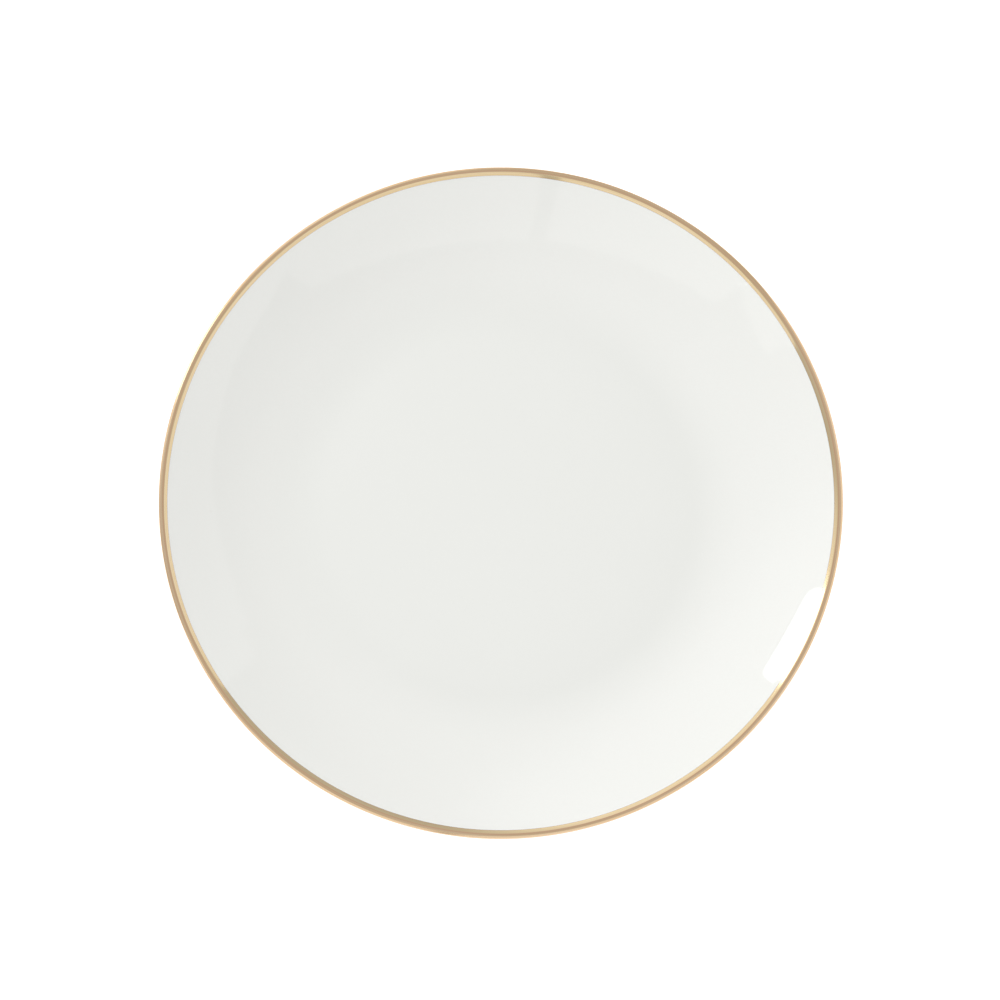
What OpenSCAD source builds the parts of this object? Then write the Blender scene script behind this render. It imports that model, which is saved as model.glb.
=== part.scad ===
// Coupe dinner plate in glazed bone china with a gilded rim.
// One fired china body, the glass glaze fused over it, the gold line on its rim
// and a plain mark printed inside its foot ring. Millimetres, +Z up, with the
// foot ring standing on z = 0 and the plate's axis on Z.

/* [Plate] */
// Diameter over the gilded rim
plate_d = 270; // [262:1:282]
// Thickness of the china under the well
floor_t = 3.4; // [2.8:0.1:4.2]
// Radius of the rounded lip, which is half the china's thickness there
lip_r = 0.9; // [0.7:0.05:1.2]

/* [Well and wall] */
// Radius of the flat middle of the well
crown_r = 58; // [50:1:64]
// How far the flat middle stands above the valley round it
crown_h = 0.12; // [0:0.02:0.3]
// Radius of the valley, where the well ends and the wall begins
valley_r = 76.5; // [75:0.5:78]
// Radius at which the quick bend out of the well ends
bend_r = 86; // [85.5:0.5:90]
// Slope of the wall at the end of that bend, in degrees
bend_slope = 10; // [8:0.5:12]
// Radius at which the wall is nearly straight
wall_r = 122; // [118:0.5:124]
// Slope of the wall at that radius, in degrees
wall_slope = 27; // [24:0.5:28]
// Slope of the wall at its top, in degrees
top_slope = 28.5; // [28.5:0.5:30]
// Slope of the rim above the last short lift, under the gold line, in degrees
rim_slope = 31; // [30.5:0.5:34]

/* [Foot ring] */
// Outer diameter of the foot ring
foot_d = 152; // [148:0.5:154]
// Width of the foot ring at its base
foot_w = 3.4; // [2.8:0.1:4.4]
// Height of the recess inside the foot ring
foot_h = 2.5; // [2:0.1:3]
// Radius on the foot ring's two lower edges
foot_edge_r = 0.7; // [0.4:0.05:1]
// Lean of the foot ring's sides, in degrees
foot_lean = 12; // [4:1:20]
// Height above the table at which the glaze stops
glaze_line = 0.9; // [0.8:0.05:1.1]

/* [Glaze, gold and mark] */
// Thickness of the glaze
glaze_t = 0.25; // [0.15:0.05:0.4]
// Thickness of the gold line
gold_t = 0.08; // [0.05:0.01:0.15]
// Width of the gold line on the face, from the lip inwards
gold_face_w = 1.7; // [1:0.1:2.4]
// Width of the gold line on the underside, from the lip inwards
gold_under_w = 1.2; // [0.5:0.1:2]
// Outer radius of the printed mark
mark_r = 11; // [8:0.5:14]
// Number of beads in the printed mark
mark_beads = 24; // [12:1:36]

/* [Hidden] */

turn_fn = 180;      // facets of a full turn in the preview
mark_t = 0.05;      // thickness of the printed mark
mark_line_w = 0.35; // width of the mark's two ring lines
mark_bead_r = 0.6;  // radius of a bead, which lies between the lines and joins them
arc_step = 2;       // degrees of slope between the points of a curved wall
lip_step = 15;      // degrees between the points of the lip
edge_step = 20;     // degrees between the points of the foot's edges
fillet_n = 12;      // points along a fillet
foot_blend = 9;     // how far outside the foot ring its fillet meets the wall
recess_blend = 3;   // how far inside the foot ring its fillet meets the recess
lift_w = 1.6;       // width of the short lift between the wall and the rim
lift_gap = 0.4;     // how far inside the gold line the lift ends

valley_z = foot_h + floor_t;
lip_centre_r = plate_d / 2 - gold_t - glaze_t - lip_r;
rim_end_r = lip_centre_r - lip_r * sin(rim_slope);
gold_inner_r = rim_end_r - gold_face_w * cos(rim_slope);
lift_end_r = gold_inner_r - lift_gap;

// A point of the outline is [r, z, a]: its distance from the axis, its height,
// and the direction in degrees in which the surface faces there.

// The point d out from the surface, along the way that it faces
function raised(p, d) = [p[0] + d * cos(p[2]), p[1] + d * sin(p[2])];

function reversed(path) = [for (i = [len(path) - 1 : -1 : 0]) path[i]];

// Outline of a layer that lies on a path, from height low to height high over it
function layer(path, low, high) = concat(
    [for (p = path) raised(p, low)],
    [for (p = reversed(path)) raised(p, high)]
);

// Points of a wall that curves upwards from slope s0 at its start to slope s1 at radius r1
function rising_arc(start, s0, s1, r1) =
    let (
        n = ceil((s1 - s0) / arc_step),
        radius = (r1 - start[0]) / (sin(s1) - sin(s0))
    )
    [for (i = [1 : n])
        let (s = s0 + (s1 - s0) * i / n)
        [start[0] + radius * (sin(s) - sin(s0)), start[1] + radius * (cos(s0) - cos(s)), 90 + s]];

// Points round a convex edge, which faces from direction a0 to direction a1
function rounded_edge(centre, radius, a0, a1, step) =
    let (n = ceil(abs(a1 - a0) / step))
    [for (i = [0 : n])
        let (a = a0 + (a1 - a0) * i / n)
        [centre[0] + radius * cos(a), centre[1] + radius * sin(a), a]];

// Points of a cubic curve between two outline points, after the first of them.
// Both are on a stretch where the outline runs back towards the axis.
function fillet(p, q, reach_p, reach_q) =
    let (
        p0 = [p[0], p[1]],
        p1 = raised([p[0], p[1], p[2] - 90], reach_p),
        p2 = raised([q[0], q[1], q[2] + 90], reach_q),
        p3 = [q[0], q[1]]
    )
    [for (i = [1 : fillet_n])
        let (
            t = i / fillet_n,
            u = 1 - t,
            at = u * u * u * p0 + 3 * u * u * t * p1 + 3 * u * t * t * p2 + t * t * t * p3,
            along = u * u * (p1 - p0) + 2 * u * t * (p2 - p1) + t * t * (p3 - p2)
        )
        [at[0], at[1], atan2(along[1], along[0]) + 90]];

// The face, from the axis to the gold line's inner edge

crown_n = 8;
crown = [for (i = [0 : crown_n])
    let (
        u = i / crown_n,
        fall = crown_h * PI / 2 * sin(180 * u) / (valley_r - crown_r)
    )
    [crown_r + u * (valley_r - crown_r), valley_z + crown_h * (1 + cos(180 * u)) / 2, 90 - atan(fall)]];
bend = rising_arc([valley_r, valley_z], 0, bend_slope, bend_r);
wall = rising_arc(bend[len(bend) - 1], bend_slope, wall_slope, wall_r);
top_wall = rising_arc(wall[len(wall) - 1], wall_slope, top_slope, lift_end_r - lift_w);
lift = rising_arc(top_wall[len(top_wall) - 1], top_slope, rim_slope, lift_end_r);
lift_end = lift[len(lift) - 1];

function on_rim(r) = [r, lift_end[1] + (r - lift_end[0]) * tan(rim_slope), 90 + rim_slope];

rim_end = on_rim(rim_end_r);
gold_inner = on_rim(gold_inner_r);
face = concat([[0, valley_z + crown_h, 90]], crown, bend, wall, top_wall, lift, [gold_inner]);

// The lip

lip_centre = [lip_centre_r, rim_end[1] - lip_r * cos(rim_slope)];
lip = rounded_edge(lip_centre, lip_r, 90 + rim_slope, rim_slope - 90, lip_step);

// The underside, from the lip to the glaze's edge on the foot ring

function china_t(r) = floor_t + (2 * lip_r - floor_t) * max(0, r - bend_r) / (rim_end_r - bend_r);
function below(p) = let (q = raised(p, -china_t(p[0]))) [q[0], q[1], p[2] - 180];

gold_outer = below(on_rim(rim_end_r - gold_under_w * cos(rim_slope)));
outer_wall = [for (p = reversed(concat(bend, wall, top_wall))) if (p[0] > foot_d / 2 + foot_blend) below(p)];

foot_out_c = [foot_d / 2 - foot_edge_r, foot_edge_r];
foot_in_c = [foot_d / 2 - foot_w + foot_edge_r, foot_edge_r];

// The point on a side of the foot ring at the glaze's edge: side is 1 outside and -1 inside
function glaze_edge(centre, side) =
    let (rise = (glaze_line - foot_edge_r * (1 - sin(foot_lean))) * tan(foot_lean))
    [centre[0] + side * (foot_edge_r * cos(foot_lean) + rise), glaze_line,
     side > 0 ? -foot_lean : foot_lean - 180];

foot_out = glaze_edge(foot_out_c, 1);
foot_in = glaze_edge(foot_in_c, -1);
under = concat(
    [gold_outer],
    outer_wall,
    fillet(outer_wall[len(outer_wall) - 1], foot_out, foot_blend * 0.5, foot_h * 0.6)
);

// The bare foot and the recess inside it

foot = concat(
    rounded_edge(foot_out_c, foot_edge_r, -foot_lean, -90, edge_step),
    rounded_edge(foot_in_c, foot_edge_r, -90, foot_lean - 180, edge_step)
);
recess_edge = [foot_d / 2 - foot_w - recess_blend, foot_h, -90];
recess = concat([foot_in], fillet(foot_in, recess_edge, foot_h * 0.3, recess_blend * 0.5), [[0, foot_h, -90]]);

band = concat([gold_inner], lip, [gold_outer]);

// Turns an outline into a round solid
module turned(points) {
    rotate_extrude($fn = turn_fn) polygon([for (p = points) [p[0], p[1]]]);
}

module china_body() {
    color("ivory") turned(concat(face, lip, under, foot, recess));
}

module glaze_coat() {
    color("white") turned(layer(concat(face, lip, under), 0, glaze_t));
}

module base_glaze() {
    color("white") turned(layer(recess, 0, glaze_t));
}

module gold_band() {
    color("goldenrod") turned(layer(band, glaze_t, glaze_t + gold_t));
}

// A flat ring of the printed mark's ink
module mark_ring(outer_r) {
    difference() {
        cylinder(r = outer_r, h = mark_t, $fn = 96);
        translate([0, 0, -mark_t]) cylinder(r = outer_r - mark_line_w, h = 3 * mark_t, $fn = 96);
    }
}

module backstamp() {
    bead_circle_r = mark_r - mark_line_w - 0.9 * mark_bead_r;
    color("darkgoldenrod") translate([0, 0, foot_h - glaze_t - mark_t]) {
        mark_ring(mark_r);
        mark_ring(bead_circle_r - 0.9 * mark_bead_r);
        for (i = [0 : mark_beads - 1])
            rotate([0, 0, i * 360 / mark_beads])
                translate([bead_circle_r, 0, 0])
                    cylinder(r = mark_bead_r, h = mark_t, $fn = 24);
    }
}

china_body();
glaze_coat();
base_glaze();
gold_band();
backstamp();
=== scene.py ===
"""A coupe dinner plate of glazed bone china with a gilded rim, on a pale studio floor.

Every piece is turned from one outline of the fired china, so that the glaze lies on the
body and the gold on the glaze. Lengths are in metres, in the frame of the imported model.
"""

import math

import bmesh
import bpy
import numpy as np
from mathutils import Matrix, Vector, noise


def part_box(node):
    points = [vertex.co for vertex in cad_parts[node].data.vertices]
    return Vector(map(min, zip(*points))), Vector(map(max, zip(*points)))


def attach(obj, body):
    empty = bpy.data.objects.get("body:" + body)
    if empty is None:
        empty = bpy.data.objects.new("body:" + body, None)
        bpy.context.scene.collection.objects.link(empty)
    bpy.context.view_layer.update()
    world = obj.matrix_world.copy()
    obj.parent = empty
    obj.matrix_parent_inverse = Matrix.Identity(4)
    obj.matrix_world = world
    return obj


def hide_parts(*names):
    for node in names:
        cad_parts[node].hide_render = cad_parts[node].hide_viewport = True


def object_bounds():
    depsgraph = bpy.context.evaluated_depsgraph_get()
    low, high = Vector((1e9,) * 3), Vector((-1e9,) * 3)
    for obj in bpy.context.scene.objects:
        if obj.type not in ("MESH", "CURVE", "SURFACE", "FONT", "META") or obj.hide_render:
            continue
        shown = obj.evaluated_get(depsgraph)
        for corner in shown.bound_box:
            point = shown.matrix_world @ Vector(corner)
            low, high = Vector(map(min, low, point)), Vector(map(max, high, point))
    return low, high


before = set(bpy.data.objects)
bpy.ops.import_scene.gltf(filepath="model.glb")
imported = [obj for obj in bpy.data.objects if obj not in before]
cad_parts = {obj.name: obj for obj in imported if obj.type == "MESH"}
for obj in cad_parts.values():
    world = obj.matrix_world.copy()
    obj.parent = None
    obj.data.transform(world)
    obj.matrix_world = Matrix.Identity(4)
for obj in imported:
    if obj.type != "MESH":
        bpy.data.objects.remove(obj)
cad_low, cad_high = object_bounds()

MM = 0.001

# Dimensions ------------------------------------------------------------------------------

# From the frame
FOOT_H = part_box("base_glaze")[1].z
MARK_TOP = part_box("backstamp")[1].z
MARK_T = MARK_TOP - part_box("backstamp")[0].z
MARK_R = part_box("backstamp")[1].x
GLAZE_T = FOOT_H - MARK_TOP
RIM_R = min(-cad_low.x, -cad_low.y, cad_high.x, cad_high.y)

# As in the part's source
FLOOR_T = 3.4 * MM
CROWN_H = 0.12 * MM
CROWN_R = 58 * MM
VALLEY_R = 76.5 * MM
BEND_R, BEND_SLOPE = 86 * MM, math.radians(10)
WALL_R, WALL_SLOPE = 122 * MM, math.radians(27)
TOP_SLOPE = math.radians(28.5)
RIM_SLOPE = math.radians(31)
FOOT_R = 76 * MM
FOOT_W = 3.4 * MM
FOOT_EDGE_R = 0.7 * MM
FOOT_LEAN = math.radians(12)
FOOT_BLEND = 9 * MM
RECESS_BLEND = 3 * MM
GLAZE_LINE = 0.9 * MM
GOLD_UNDER_W = 1.2 * MM
MARK_LINE_W = 0.35 * MM
MARK_BEAD_R = 0.6 * MM
MARK_BEADS = 24

# Unlike the part's, to look right at the rim
GOLD_T = 0.06 * MM        # thinner, so that the gold stays in its box
GOLD_FACE_W = 1.15 * MM   # on the flat only, as more of the lip counts as lip here
LIFT_R, LIFT_W = 129.4 * MM, 0.8 * MM  # a sharper lift, just inside the gold
TOP_R = 131 * MM          # where the wall's last curve ends

# Of the surfaces
GOLD_SINK = 0.02 * MM     # how far the gold reaches into the glaze under it
SLOPE_BLEND = 1.5 * MM    # half the width over which two curves of the wall run together
RIPPLE = 0.03 * MM        # how far roller and kiln leave the surface off its outline
RIPPLE_LENGTH = 45 * MM
SEGMENTS = 360            # round the plate
COARSE = 3                # every so many points of the outline on the glaze's hidden side

# Of the room, as radiances
HORIZON, ZENITH, WALL_GLOW = 0.68, 0.74, 0.54
RIGHT_GLOW, NEAR_RIGHT_GLOW, NEAR_LEFT_GLOW = 0.44, 0.42, 0.46

# Of the lights and the camera, in metres and degrees
BOX_CORNER_R = 0.05       # of the softbox's rounded corners
LAMP_GAP = 0.02           # from the softbox to the lamp in front of it
PANEL_FOOT = 0.02         # from the floor to the panels
RIGHT_DIST, NEAR_DIST = 1.2, 0.9
PANEL_HALF = 12           # half of what a right-hand panel spans
CAMERA_DIST, CAMERA_TILT = 1.8, math.radians(11.05)
VIEW_HALF = 0.19704       # half of what the camera sees across the rim
SENSOR = 36               # the camera's, in millimetres

# The outline of the china ----------------------------------------------------------------

# The sine of the face's slope against the radius: level to the crown's edge, down into the
# valley, then up through the bend and the wall
SLOPES = [
    (0, 0),
    (CROWN_R, 0),
    ((CROWN_R + VALLEY_R) / 2, -2 * CROWN_H / (VALLEY_R - CROWN_R)),
    (VALLEY_R, 0),
    (BEND_R, math.sin(BEND_SLOPE)),
    (WALL_R, math.sin(WALL_SLOPE)),
    (TOP_R, math.sin(TOP_SLOPE)),
    (2 * RIM_R, math.sin(TOP_SLOPE)),
]


def face_sine(radius):
    """The sine of the face's slope, averaged over SLOPE_BLEND on each side, with the last short
    lift into the rim on top."""
    radii, sines = zip(*SLOPES)
    offsets = np.linspace(-SLOPE_BLEND, SLOPE_BLEND, 25)
    wall = np.mean([np.interp(radius + d, radii, sines) for d in offsets], axis=0)
    u = np.clip((radius - LIFT_R) / LIFT_W, 0, 1)
    return wall + (math.sin(RIM_SLOPE) - math.sin(TOP_SLOPE)) * u * u * (3 - 2 * u)


FINE_RADII = np.linspace(0, RIM_R, 2701)
FINE_RISE = np.cumsum(np.tan(np.arcsin(face_sine(FINE_RADII)))) * (FINE_RADII[1] - FINE_RADII[0])


def face(radius):
    """Outline points (radius, height, direction faced) of the china's face."""
    radius = np.asarray(radius, float)
    height = FOOT_H + FLOOR_T + CROWN_H + np.interp(radius, FINE_RADII, FINE_RISE)
    return np.stack([radius, height, math.pi / 2 + np.arcsin(face_sine(radius))], axis=1)


def raised(points, distance):
    """The points at a distance out from an outline, as (radius, height)."""
    distance = np.asarray(distance)
    return np.stack([
        points[..., 0] + distance * np.cos(points[..., 2]),
        points[..., 1] + distance * np.sin(points[..., 2]),
    ], axis=-1)


def arc(centre, radius, start, end, count):
    """Outline points round a convex edge, facing from one direction to another."""
    turn = np.linspace(start, end, count)
    across, up = centre[0] + radius * np.cos(turn), centre[1] + radius * np.sin(turn)
    return np.stack([across, up, turn], axis=1)


def fillet(p, q, reach_p, reach_q, count):
    """Outline points along a cubic curve from p to q, which leaves out p itself."""
    t = np.linspace(0, 1, count + 1)[1:, None]
    u = 1 - t
    p0, p3 = p[:2], q[:2]
    p1 = p0 + reach_p * np.array([math.cos(p[2] - math.pi / 2), math.sin(p[2] - math.pi / 2)])
    p2 = p3 + reach_q * np.array([math.cos(q[2] + math.pi / 2), math.sin(q[2] + math.pi / 2)])
    at = u**3 * p0 + 3 * u**2 * t * p1 + 3 * u * t**2 * p2 + t**3 * p3
    along = u**2 * (p1 - p0) + 2 * u * t * (p2 - p1) + t**2 * (p3 - p2)
    return np.column_stack([at, np.arctan2(along[:, 1], along[:, 0]) + math.pi / 2])


# The lip turns over in three arcs (radius, direction faced at its end): an easy start out of
# the face, a flattened top and a round outer edge
LIP_ARCS = [
    (2.20 * MM, math.radians(107)),
    (1.75 * MM, math.radians(68)),
    (0.72 * MM, RIM_SLOPE - math.pi / 2),
]


def lip_points(start):
    """Outline points over the lip, from the point of the face where it starts."""
    points = [start]
    for radius, end in LIP_ARCS:
        p = points[-1]
        centre = p[:2] - radius * np.array([math.cos(p[2]), math.sin(p[2])])
        count = max(6, round(abs(p[2] - end) / math.radians(7)))
        points += list(arc(centre, radius, p[2], end, count + 1)[1:])
    return np.array(points)


lip_trial = lip_points(np.array([0, 0, math.pi / 2 + RIM_SLOPE]))
RIM_END_R = RIM_R - raised(lip_trial, GLAZE_T + GOLD_T)[:, 0].max()
lip = lip_points(face([RIM_END_R])[0])
lip_t = np.hypot(*(lip[-1] - lip[0])[:2])


def underside(radius):
    """Outline points under the face at those radii, as thick as the china is there."""
    top = face(radius)
    thinning = np.clip((top[:, 0] - BEND_R) / (RIM_END_R - BEND_R), 0, 1)
    low = raised(top, -(FLOOR_T + (lip_t - FLOOR_T) * thinning))
    return np.column_stack([low, top[:, 2] - math.pi])


def glaze_edge(centre, side):
    """The outline point where the glaze stops on a side of the foot ring: 1 outside, -1 inside."""
    rise = (GLAZE_LINE - FOOT_EDGE_R * (1 - math.sin(FOOT_LEAN))) * math.tan(FOOT_LEAN)
    across = side * (FOOT_EDGE_R * math.cos(FOOT_LEAN) + rise)
    facing = -FOOT_LEAN if side > 0 else FOOT_LEAN - math.pi
    return np.array([centre[0] + across, GLAZE_LINE, facing])


foot_out_c = np.array([FOOT_R - FOOT_EDGE_R, FOOT_EDGE_R])
foot_in_c = np.array([FOOT_R - FOOT_W + FOOT_EDGE_R, FOOT_EDGE_R])
foot_out, foot_in = glaze_edge(foot_out_c, 1), glaze_edge(foot_in_c, -1)
wall_start = underside([FOOT_R + FOOT_BLEND])

face_path = face(np.concatenate([
    np.linspace(0, CROWN_R, 30),
    np.linspace(CROWN_R, LIFT_R, 66)[1:],
    np.linspace(LIFT_R, LIFT_R + LIFT_W, 9)[1:],
    np.linspace(LIFT_R + LIFT_W, RIM_END_R, 8)[1:],
]))
under_path = np.concatenate([
    underside(np.linspace(RIM_END_R, FOOT_R + FOOT_BLEND, 32)[1:-1]),
    wall_start,
    fillet(wall_start[0], foot_out, FOOT_BLEND * 0.5, FOOT_H * 0.55, 16),
])
glazed_path = np.concatenate([face_path, lip[1:], under_path])
foot_path = np.concatenate([
    arc(foot_out_c, FOOT_EDGE_R, -FOOT_LEAN, -math.pi / 2, 10),
    arc(foot_in_c, FOOT_EDGE_R, -math.pi / 2, FOOT_LEAN - math.pi, 10),
])
recess_edge = np.array([FOOT_R - FOOT_W - RECESS_BLEND, FOOT_H, -math.pi / 2])
recess_floor = np.linspace(recess_edge[0], 0, 30)[1:]
recess_path = np.concatenate([
    foot_in[None],
    fillet(foot_in, recess_edge, FOOT_H * 0.3, RECESS_BLEND * 0.5, 14),
    np.stack([recess_floor, recess_floor * 0 + FOOT_H, recess_floor * 0 - math.pi / 2], axis=1),
])

# Meshes ----------------------------------------------------------------------------------

TURN = np.arange(SEGMENTS) * 2 * math.pi / SEGMENTS


def wander(seed, waves):
    """A smooth value from -1 to 1 for each angle round the plate, with some waves in a turn."""
    at = [Vector((math.cos(a), math.sin(a), 0)) * waves / 6 + Vector((0, 0, seed)) for a in TURN]
    return np.array([noise.noise(p) for p in at])


def round_the_axis(radius, z):
    """The points (x, y, z) at a radius and a height for each angle round the plate."""
    return np.stack([radius * np.cos(TURN), radius * np.sin(TURN), z], axis=-1)


def turned(name, path, distances, closed):
    """A mesh object turned from a path of outline points, each raised by its own distance. Either
    may be given for each angle. A closed path is a ring, and an open one starts and ends on the
    axis. Away from the gold and the foot, the surface stands off its outline by the little that
    roller and kiln leave."""
    path, distances = np.asarray(path), np.asarray(distances)
    if path.ndim == 2:
        path = np.repeat(path[:, None], SEGMENTS, axis=1)
    if distances.ndim == 1:
        distances = np.repeat(distances[:, None], SEGMENTS, axis=1)
    up = np.sin(path[..., 2])
    calm = np.clip(np.minimum(np.abs(up) * 2 - 1, (RIM_R - 4 * MM - path[..., 0]) / (8 * MM)), 0, 1)
    calm *= np.clip(path[..., 1] / FOOT_H - 0.5, 0, 1)
    flat = round_the_axis(path[..., 0], np.sign(up) * 0.1)
    waves = np.zeros(up.shape)
    for at in np.argwhere(calm > 0).tolist():
        waves[tuple(at)] = noise.noise(Vector(flat[tuple(at)]) / RIPPLE_LENGTH)
    outline = raised(path, distances + RIPPLE * calm * waves)
    points = round_the_axis(outline[..., 0], outline[..., 1])
    rings = len(path) if closed else len(path) - 2
    first = 0 if closed else 1
    vertices = points[first:first + rings].reshape(-1, 3)
    here, there = np.arange(SEGMENTS), np.roll(np.arange(SEGMENTS), -1)
    faces = []
    for ring in range(rings if closed else rings - 1):
        a, b = ring * SEGMENTS, (ring + 1) % rings * SEGMENTS
        faces += np.stack([a + here, b + here, b + there, a + there], axis=1).tolist()
    if not closed:
        top, last = len(vertices), (rings - 1) * SEGMENTS
        vertices = np.concatenate([vertices, points[[0, -1], 0]])
        faces += [[top, a, b] for a, b in zip(here.tolist(), there.tolist())]
        faces += [[top + 1, last + b, last + a] for a, b in zip(here.tolist(), there.tolist())]
    return add_piece(name, vertices.tolist(), faces)


def add_piece(name, vertices, faces):
    mesh = bpy.data.meshes.new(name)
    mesh.from_pydata(vertices, [], faces)
    mesh.polygons.foreach_set("use_smooth", [True] * len(mesh.polygons))
    piece = bpy.data.objects.new(name, mesh)
    bpy.context.scene.collection.objects.link(piece)
    return piece


def place(piece, material, slot, node):
    piece.data.materials.append(material)
    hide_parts(node)
    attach(piece, "root")


# Materials -------------------------------------------------------------------------------


class Nodes:
    """A short way to write a material's nodes, on the object's own coordinates."""

    def __init__(self, name):
        self.material = bpy.data.materials.new(name)
        self.material.use_nodes = True
        self.tree = self.material.node_tree
        self.shader = self.tree.nodes["Principled BSDF"]
        self.coords = self.add("ShaderNodeTexCoord").outputs["Object"]

    def add(self, kind, **settings):
        node = self.tree.nodes.new(kind)
        for key, value in settings.items():
            setattr(node, key, value)
        return node

    def feed(self, socket, value):
        if isinstance(value, bpy.types.NodeSocket):
            self.tree.links.new(value, socket)
        else:
            socket.default_value = value

    def math(self, operation, a, b=0.0):
        node = self.add("ShaderNodeMath", operation=operation)
        self.feed(node.inputs[0], a)
        self.feed(node.inputs[1], b)
        return node.outputs[0]

    def ramp(self, value, low, high, to_low=0.0, to_high=1.0):
        """The value carried smoothly from between low and high to between two others."""
        node = self.add("ShaderNodeMapRange", interpolation_type="SMOOTHSTEP")
        for socket, v in zip(node.inputs, (value, low, high, to_low, to_high)):
            self.feed(socket, v)
        return node.outputs[0]

    def noise(self, vector, scale, detail=2.0):
        node = self.add("ShaderNodeTexNoise")
        self.feed(node.inputs["Vector"], vector)
        self.feed(node.inputs["Scale"], scale)
        self.feed(node.inputs["Detail"], detail)
        return node.outputs["Fac"]

    def mix(self, amount, a, b):
        node = self.add("ShaderNodeMix", data_type="RGBA")
        for socket, v in zip((node.inputs[0], node.inputs[6], node.inputs[7]), (amount, a, b)):
            self.feed(socket, (*v, 1) if isinstance(v, tuple) else v)
        return node.outputs[2]

    def radius(self):
        """The distance from the plate's axis, in millimetres."""
        xyz = self.add("ShaderNodeSeparateXYZ")
        self.feed(xyz.inputs[0], self.coords)
        x2 = self.math("MULTIPLY", xyz.outputs[0], xyz.outputs[0])
        y2 = self.math("MULTIPLY", xyz.outputs[1], xyz.outputs[1])
        return self.math("MULTIPLY", self.math("SQRT", self.math("ADD", x2, y2)), 1000.0)

    def round_coords(self, across, along):
        """Coordinates that run slowly round the plate and quickly across the radius: so many
        to a millimetre across, and so many to a radian along."""
        unit = self.add("ShaderNodeVectorMath", operation="MULTIPLY")
        self.feed(unit.inputs[0], self.coords)
        unit.inputs[1].default_value = (1, 1, 0)
        level = self.add("ShaderNodeVectorMath", operation="NORMALIZE")
        self.feed(level.inputs[0], unit.outputs[0])
        xyz, out = self.add("ShaderNodeSeparateXYZ"), self.add("ShaderNodeSeparateXYZ")
        self.feed(xyz.inputs[0], level.outputs[0])
        self.feed(out.inputs[0], self.coords)
        joined = self.add("ShaderNodeCombineXYZ")
        self.feed(joined.inputs[0], self.math("MULTIPLY", xyz.outputs[0], along))
        self.feed(joined.inputs[1], self.math("MULTIPLY", xyz.outputs[1], along))
        height = self.math("MULTIPLY", out.outputs[2], 700.0)
        outwards = self.math("ADD", self.radius(), height)
        self.feed(joined.inputs[2], self.math("MULTIPLY", outwards, across))
        return joined.outputs[0]

    def bump(self, height, depth):
        """The surface lifted where the height is 1 by a depth, in metres."""
        node = self.add("ShaderNodeBump")
        self.feed(node.inputs["Height"], height)
        node.inputs["Distance"].default_value = depth
        self.feed(self.shader.inputs["Normal"], node.outputs[0])


def glaze_material():
    n = Nodes("clear_glaze_on_china")
    # Faint mottling of the china under the glaze. The well is painted a little darker and the
    # valley
    # darker still: painted shade, standing in for the well's shading against the wall
    cloud = n.noise(n.coords, 14.0)
    grain = n.noise(n.coords, 900.0)
    tone = n.mix(n.ramp(cloud, 0.3, 0.7), (0.803, 0.807, 0.783), (0.810, 0.814, 0.791))
    tone = n.mix(n.math("MULTIPLY", n.ramp(grain, 0.3, 0.7), 0.35), tone, (0.792, 0.795, 0.773))
    radius = n.radius()
    # painted shade: a little dark over the whole well, darkest in the valley, fading out by 98 mm
    # up the wall
    valley = n.math("MULTIPLY", n.ramp(radius, 69.0, 76.0), n.ramp(radius, 76.0, 84.0, 1.0, 0.0))
    painted_well_shade = n.math("ADD", n.math("MULTIPLY", valley, 0.05), n.ramp(radius, 76.0, 98.0, 0.36, 0.0))
    tone = n.mix(painted_well_shade, tone, (0.74, 0.75, 0.725))
    # Rare iron specks
    cells = n.add("ShaderNodeTexVoronoi")
    n.feed(cells.inputs["Vector"], n.coords)
    cells.inputs["Scale"].default_value = 38.0
    spot = n.ramp(cells.outputs["Distance"], 0.006, 0.011, 1.0, 0.0)
    tint = n.add("ShaderNodeSeparateColor")
    n.feed(tint.inputs[0], cells.outputs["Color"])
    speck = n.math("MULTIPLY", spot, n.math("GREATER_THAN", tint.outputs[0], 0.9))
    tone = n.mix(n.math("MULTIPLY", speck, 0.5), tone, (0.35, 0.3, 0.24))
    # and one soft grey fleck on the wall
    apart = n.add("ShaderNodeVectorMath", operation="DISTANCE")
    n.feed(apart.inputs[0], n.coords)
    apart.inputs[1].default_value = (-115 * MM, -3.5 * MM, face([115 * MM])[0][1])
    fleck = n.ramp(apart.outputs["Value"], 0.0, 1.0 * MM, 0.07, 0.0)
    n.feed(n.shader.inputs["Base Color"], n.mix(fleck, tone, (0.5, 0.42, 0.4)))
    n.feed(n.shader.inputs["Roughness"], n.ramp(n.noise(n.coords, 60.0, 4.0), 0.3, 0.8, 0.01, 0.03))
    n.shader.inputs["IOR"].default_value = 1.57
    n.bump(n.noise(n.coords, 260.0, 1.0), 0.0000006)
    return n.material


def biscuit_material():
    n = Nodes("ground_biscuit")
    grain = n.noise(n.coords, 2600.0, 3.0)
    tone = n.mix(grain, (0.70, 0.68, 0.62), (0.84, 0.83, 0.79))
    # The rings that grinding left, and the table dirt they hold
    rings = n.noise(n.round_coords(9.0, 5.0), 1.0, 3.0)
    tone = n.mix(n.ramp(rings, 0.55, 0.75, 0.0, 0.5), tone, (0.50, 0.47, 0.42))
    scuff = n.noise(n.coords, 45.0, 4.0)
    tone = n.mix(n.ramp(scuff, 0.52, 0.7, 0.0, 0.45), tone, (0.55, 0.52, 0.47))
    n.feed(n.shader.inputs["Base Color"], tone)
    n.feed(n.shader.inputs["Roughness"], n.ramp(rings, 0.3, 0.7, 0.9, 0.7))
    n.bump(n.math("ADD", rings, n.math("MULTIPLY", grain, 0.5)), 0.00005)
    return n.material


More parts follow.
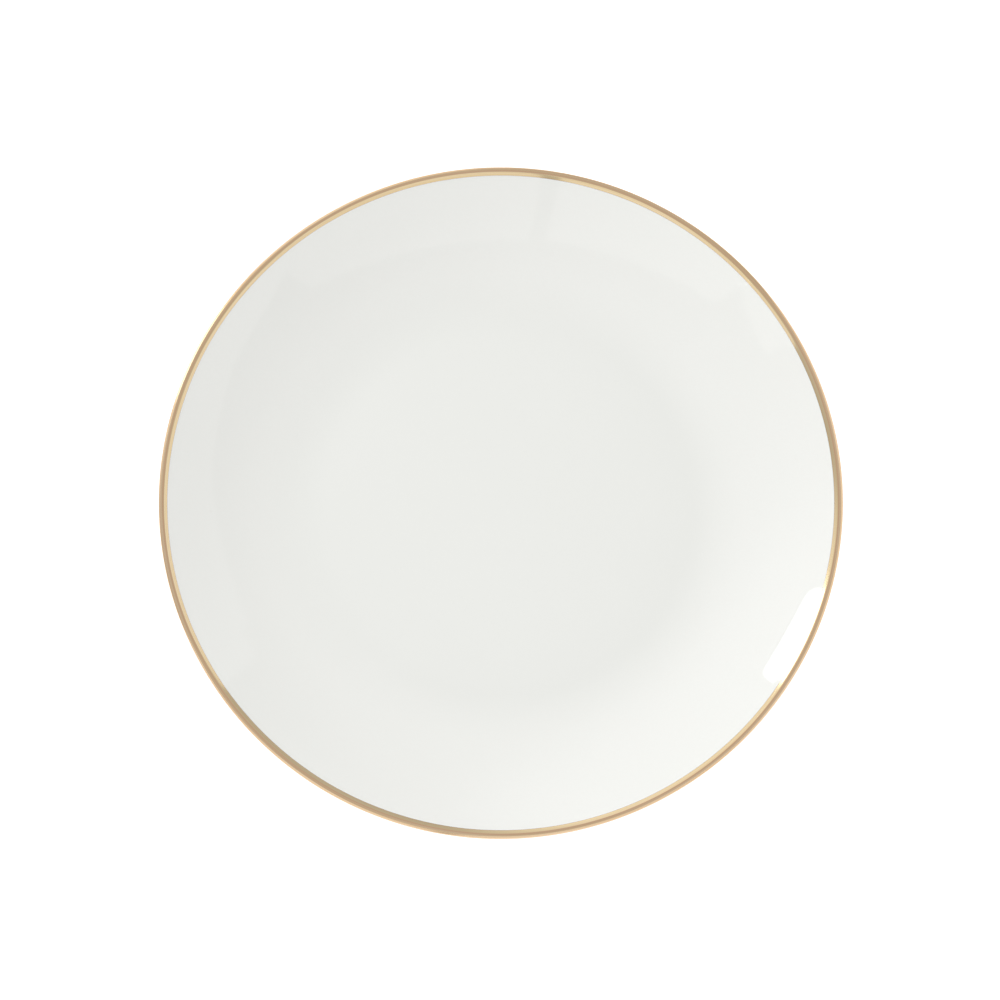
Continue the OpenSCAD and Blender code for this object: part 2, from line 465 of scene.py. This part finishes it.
def gold_material():
    n = Nodes("fired_gold")
    # Streaks of the banding brush
    streaks = n.noise(n.round_coords(3.0, 2.5), 1.0, 2.0)
    fine = n.noise(n.round_coords(14.0, 12.0), 1.0, 2.0)
    # Painted light: the face's band gets a paler gold, as gold looks where it reflects the bright
    # panels, and the lip a more orange gold, as it looks where it reflects the dimmer sky overhead
    face_gold_painted_lit = n.mix(n.ramp(streaks, 0.3, 0.7), (0.65, 0.505, 0.30), (0.70, 0.56, 0.365))
    lip_gold_painted_shaded = n.mix(n.ramp(streaks, 0.3, 0.7), (0.665, 0.475, 0.29), (0.72, 0.54, 0.365))
    on_lip = n.add("ShaderNodeAttribute", attribute_name="on_lip").outputs["Fac"]
    tone = n.mix(on_lip, face_gold_painted_lit, lip_gold_painted_shaded)
    tone = n.mix(n.ramp(fine, 0.55, 0.8, 0.0, 0.2), tone, (0.56, 0.39, 0.22))
    # The gold thins to a grey-lilac film at its edges
    edge = n.add("ShaderNodeAttribute", attribute_name="film").outputs["Fac"]
    tone = n.mix(n.ramp(edge, 0.0, 1.0), tone, (0.62, 0.56, 0.58))
    # and a browner line is painted where the face's band and the lip's meet: a painted dark
    # reflection, where the lip starts to turn over
    painted_dark_line = n.add("ShaderNodeAttribute", attribute_name="painted_dark_line").outputs["Fac"]
    tone = n.mix(n.math("MULTIPLY", painted_dark_line, 0.8), tone, (0.67, 0.435, 0.275))
    n.feed(n.shader.inputs["Base Color"], tone)
    n.shader.inputs["Metallic"].default_value = 1.0
    # The burnisher polishes the face's band more than the lip
    polish = n.ramp(n.noise(n.round_coords(2.0, 9.0), 1.0, 3.0), 0.35, 0.75, 0.06, 0.14)
    n.feed(n.shader.inputs["Roughness"], n.math("ADD", polish, n.math("MULTIPLY", on_lip, 0.04)))
    n.bump(n.math("ADD", streaks, n.math("MULTIPLY", fine, 0.3)), 0.000001)
    return n.material


def mark_material():
    n = Nodes("printed_gold_mark")
    wear = n.noise(n.coords, 1500.0, 4.0)
    tone = n.mix(n.ramp(wear, 0.35, 0.7), (0.60, 0.45, 0.27), (0.42, 0.33, 0.22))
    n.feed(n.shader.inputs["Base Color"], tone)
    n.shader.inputs["Metallic"].default_value = 0.85
    n.feed(n.shader.inputs["Roughness"], n.ramp(wear, 0.3, 0.7, 0.3, 0.5))
    n.bump(wear, 0.000008)
    return n.material


# Pieces ----------------------------------------------------------------------------------

glaze_look = glaze_material()

body_path = np.concatenate([glazed_path, foot_path, recess_path])
body = turned("fired_china", body_path, np.zeros(len(body_path)), closed=False)
place(body, biscuit_material(), "bone_china", "china_body")


def feathered(path, edges):
    """The glaze's thickness for each angle along a path. It thins to an uneven edge at its last
    or first points, whichever edges says."""
    along = np.concatenate([[0], np.cumsum(np.hypot(*np.diff(path[:, :2], axis=0).T))])
    to_edge = along[-1] - along if edges == "last" else along
    reach = (0.55 + 0.25 * wander(7, 40)) * MM
    return GLAZE_T * np.clip(to_edge[:, None] / reach[None, :], 0.12, 1) ** 0.5


coat_t = feathered(glazed_path, "last")
coat = turned(
    "glaze_over_china",
    np.concatenate([glazed_path, glazed_path[::-COARSE]]),
    np.concatenate([coat_t, coat_t[::-COARSE] * 0]),
    closed=False,
)
place(coat, glaze_look, "glaze", "glaze_coat")

base_t = feathered(recess_path, "first")
base = turned(
    "glaze_inside_foot",
    np.concatenate([recess_path[::-1], recess_path]),
    np.concatenate([base_t[::-1] * 0, base_t]),
    closed=False,
)
place(base, glaze_look, "glaze", "base_glaze")


def gold_outlines():
    """The gold's path for each angle: brushed over the lip, with edges that wander a little."""
    inner = GOLD_FACE_W + 0.06 * MM * wander(1, 30) + 0.03 * MM * wander(2, 150)
    outer = GOLD_UNDER_W + 0.25 * MM * wander(3, 24) + 0.05 * MM * wander(4, 120)
    down = math.cos(RIM_SLOPE)
    top_part = [face(RIM_END_R - share * inner * down) for share in np.linspace(1, 0, 12)[:-1]]
    lip_part = [np.repeat(p[None], SEGMENTS, axis=0) for p in lip]
    low_part = [underside(RIM_END_R - share * outer * down) for share in np.linspace(0, 1, 10)[1:]]
    return np.array(top_part + lip_part + low_part)


gold_path = gold_outlines()
rows = len(gold_path)
gold_t = GLAZE_T + GOLD_T * np.interp(np.arange(rows), [0, 1, rows - 2, rows - 1], [0.1, 1, 1, 0.1])
gold = turned(
    "gold_line",
    np.concatenate([gold_path[::-1], gold_path]),
    np.concatenate([np.full(rows, GLAZE_T - GOLD_SINK), gold_t]),
    closed=True,
)


def mark_rows(name, rows_at, values):
    """Writes a value for each row of the gold's path, for its material to read."""
    attribute = gold.data.attributes.new(name, "FLOAT", "POINT")
    value = np.interp(np.arange(rows), rows_at, values)
    attribute.data.foreach_set("value", np.repeat(np.concatenate([value[::-1], value]), SEGMENTS))


mark_rows("film", [0, 1, 2, rows - 3, rows - 2, rows - 1], [1, 0.5, 0, 0, 0.5, 1])
lip_row = int(np.argmin(np.abs(gold_path[:40, 0, 2] - LIP_ARCS[0][1])))
# the rows of the painted dark reflection line, where the lip starts to turn over
mark_rows("painted_dark_line", [lip_row - 1, lip_row + 1, lip_row + 3], [0, 1, 0])
# the lip's rows, which the gold's material paints in its shaded tint and roughens a little
mark_rows("on_lip", [lip_row - 2, lip_row], [0, 1])
place(gold, gold_material(), "gilding", "gold_band")


def printed_mark():
    """The maker's plain mark: two printed ring lines joined by a row of beads."""
    vertices, faces = [], []
    high, low = MARK_TOP - 0.006 * MM, MARK_TOP - MARK_T

    def ring(outer_r, inner_r, centre, count):
        start = len(vertices)
        for radius, z in ((outer_r, high), (outer_r, low), (inner_r, low), (inner_r, high)):
            for k in range(count):
                a = 2 * math.pi * k / count
                x, y = centre[0] + radius * math.cos(a), centre[1] + radius * math.sin(a)
                vertices.append((x, y, z))
        for side in range(4):
            p, q = start + side * count, start + (side + 1) % 4 * count
            for k in range(count):
                j = (k + 1) % count
                faces.append((p + k, q + k, q + j, p + j))

    bead_circle_r = MARK_R - MARK_LINE_W - 0.9 * MARK_BEAD_R
    ring(MARK_R, MARK_R - MARK_LINE_W, (0, 0), 192)
    inner = bead_circle_r - 0.9 * MARK_BEAD_R
    ring(inner, inner - MARK_LINE_W, (0, 0), 192)
    for k in range(MARK_BEADS):
        a = 2 * math.pi * k / MARK_BEADS
        ring(MARK_BEAD_R, 0.02 * MM, (bead_circle_r * math.cos(a), bead_circle_r * math.sin(a)), 20)
    return add_piece("printed_mark", vertices, faces)


mark = printed_mark()
place(mark, mark_material(), "mark_print", "backstamp")
for piece in (body, coat, base, gold, mark):
    bm = bmesh.new()
    bm.from_mesh(piece.data)
    bmesh.ops.recalc_face_normals(bm, faces=bm.faces)
    bm.to_mesh(piece.data)
    bm.free()

# Studio ----------------------------------------------------------------------------------

FLOOR_HALF = 15.0
CORNERS = ((-1, -1), (1, -1), (1, 1), (-1, 1))
floor_corners = [(x * FLOOR_HALF, y * FLOOR_HALF, 0) for x, y in CORNERS]
floor = add_piece("floor", floor_corners, [(0, 1, 2, 3)])
white = Nodes("white_floor")
white.shader.inputs["Base Color"].default_value = (0.92, 0.92, 0.92, 1)
white.shader.inputs["Roughness"].default_value = 0.9
white.shader.inputs["Emission Color"].default_value = (1, 1, 1, 1)
white.shader.inputs["Emission Strength"].default_value = 0.4
floor.data.materials.append(white.material)


def direction(azimuth, elevation):
    """The unit vector towards an azimuth, counted from +X to +Y, and an elevation, in degrees."""
    a, e = math.radians(azimuth), math.radians(elevation)
    return Vector((math.cos(e) * math.cos(a), math.cos(e) * math.sin(a), math.sin(e)))


def light_room():
    """A pale room, a little brighter low down, and brighter still on the wall round the key."""
    world = bpy.data.worlds.new("room")
    bpy.context.scene.world = world
    world.use_nodes = True
    tree = world.node_tree
    background = tree.nodes["Background"]
    background.inputs["Color"].default_value = (1.0, 1.0, 0.988, 1)

    def node(kind, **settings):
        made = tree.nodes.new(kind)
        for key, value in settings.items():
            setattr(made, key, value)
        return made

    def carried(value, low, high, to_low, to_high):
        ramp = node("ShaderNodeMapRange", interpolation_type="SMOOTHSTEP")
        tree.links.new(value, ramp.inputs[0])
        for socket, v in zip(list(ramp.inputs)[1:], (low, high, to_low, to_high)):
            socket.default_value = v
        return ramp.outputs[0]

    sky = node("ShaderNodeTexCoord").outputs["Generated"]
    towards = node("ShaderNodeVectorMath", operation="DOT_PRODUCT")
    tree.links.new(sky, towards.inputs[0])
    towards.inputs[1].default_value = direction(128, 22)
    xyz = node("ShaderNodeSeparateXYZ")
    tree.links.new(sky, xyz.inputs[0])
    total = node("ShaderNodeMath", operation="ADD")
    tree.links.new(carried(xyz.outputs[2], 0.3, 0.95, HORIZON, ZENITH), total.inputs[0])
    tree.links.new(carried(towards.outputs["Value"], 0.72, 0.93, 0.0, WALL_GLOW), total.inputs[1])
    tree.links.new(total.outputs[0], background.inputs["Strength"])


def add_lamp(name, place, back, width, height, radiance):
    """An area light of an even radiance, facing away from back, which the camera doesn't see."""
    light = bpy.data.lights.new(name, "AREA")
    light.shape = "RECTANGLE"
    light.size, light.size_y = width, height
    light.energy = radiance * math.pi * width * height
    lamp = bpy.data.objects.new(name, light)
    bpy.context.scene.collection.objects.link(lamp)
    lamp.visible_camera = False
    lamp.location = place
    lamp.rotation_mode = "QUATERNION"
    lamp.rotation_quaternion = back.to_track_quat("Z", "Y")
    return lamp


def softbox(azimuth, elevation, distance, width, height, roll, radiance, soft_radiance):
    """The key: a softbox with rounded corners, turned to the plate and not seen by the camera."""
    towards = direction(azimuth, elevation)
    side = direction(azimuth + 90, 0)
    upper = towards.cross(side)
    upper *= math.copysign(1, upper.z)
    ring = []
    for quarter, (su, sv) in enumerate(((1, 1), (-1, 1), (-1, -1), (1, -1))):
        for step in range(9):
            a = math.radians(quarter * 90 + step * 90 / 8)
            u = su * (width / 2 - BOX_CORNER_R) + BOX_CORNER_R * math.cos(a)
            v = sv * (height / 2 - BOX_CORNER_R) + BOX_CORNER_R * math.sin(a)
            turned_u = u * math.cos(roll) - v * math.sin(roll)
            turned_v = u * math.sin(roll) + v * math.cos(roll)
            ring.append(towards * distance + side * turned_u + upper * turned_v)
    box = add_piece("key_softbox", ring, [tuple(range(len(ring)))])
    cloth = Nodes("lit_cloth")
    cloth.shader.inputs["Base Color"].default_value = (0.8, 0.8, 0.8, 1)
    cloth.shader.inputs["Emission Color"].default_value = (1, 1, 1, 1)
    cloth.shader.inputs["Emission Strength"].default_value = radiance
    box.data.materials.append(cloth.material)
    box.visible_camera = False
    # The rest of its light falls on the plate without a reflection of its own, which would blow out
    # the gold
    lamp_at = towards * (distance - LAMP_GAP)
    lamp = add_lamp("key", lamp_at, towards, width, height, soft_radiance)
    lamp.visible_glossy = False


def panel(name, facing, distance, left, right, high, radiance):
    """An upright white panel, square to the azimuth facing, that reaches between two others, and
    from the floor up to the elevation high as it is seen from the wall across the plate, which
    is where the panel shows in the glaze."""
    u0, u1 = (math.tan(math.radians(a - facing)) * distance for a in (left, right))
    v0, v1 = PANEL_FOOT, math.tan(math.radians(high)) * (distance + WALL_R)
    out, along = direction(facing, 0), direction(facing + 90, 0)
    middle = out * distance + along * (u0 + u1) / 2 + Vector((0, 0, (v0 + v1) / 2))
    add_lamp(name, middle, out, abs(u1 - u0), v1 - v0, radiance)


light_room()
softbox(
    azimuth=143.6, elevation=26.6, distance=1.8,
    width=0.44, height=0.65, roll=math.radians(9),
    radiance=3.6, soft_radiance=7.5,
)
for k, middle in enumerate((-24, 0, 24)):
    left, right = middle - PANEL_HALF, middle + PANEL_HALF
    panel(f"right_panel_{k}", middle, RIGHT_DIST, left, right, 47, RIGHT_GLOW)
panel("right_panel_corner", 38.5, RIGHT_DIST, 36, 41, 45.5, RIGHT_GLOW)
panel("right_panel_end", 43.5, RIGHT_DIST, 41, 46, 41.5, RIGHT_GLOW)
panel("near_right_panel", -86, NEAR_DIST, -99, -36, 63.8, NEAR_RIGHT_GLOW)
panel("near_left_panel", -97, NEAR_DIST, -150, -103.5, 62.6, NEAR_LEFT_GLOW)
panel("near_left_panel_end", -158, NEAR_DIST, -166, -150, 46, NEAR_LEFT_GLOW)

camera_data = bpy.data.cameras.new("camera")
camera = bpy.data.objects.new("camera", camera_data)
bpy.context.scene.collection.objects.link(camera)
bpy.context.scene.camera = camera
aim = Vector((-0.0003, -0.0008, lip[:, 1].max()))
back = Vector((0, -math.sin(CAMERA_TILT), math.cos(CAMERA_TILT)))
camera.location = aim + back * CAMERA_DIST
camera.rotation_mode = "QUATERNION"
camera.rotation_quaternion = back.to_track_quat("Z", "Y")
camera_data.sensor_width = SENSOR
camera_data.lens = SENSOR / 2 / (VIEW_HALF / CAMERA_DIST)
camera_data.clip_start, camera_data.clip_end = 0.1, 50

bpy.context.scene.view_settings.view_transform = "Standard"
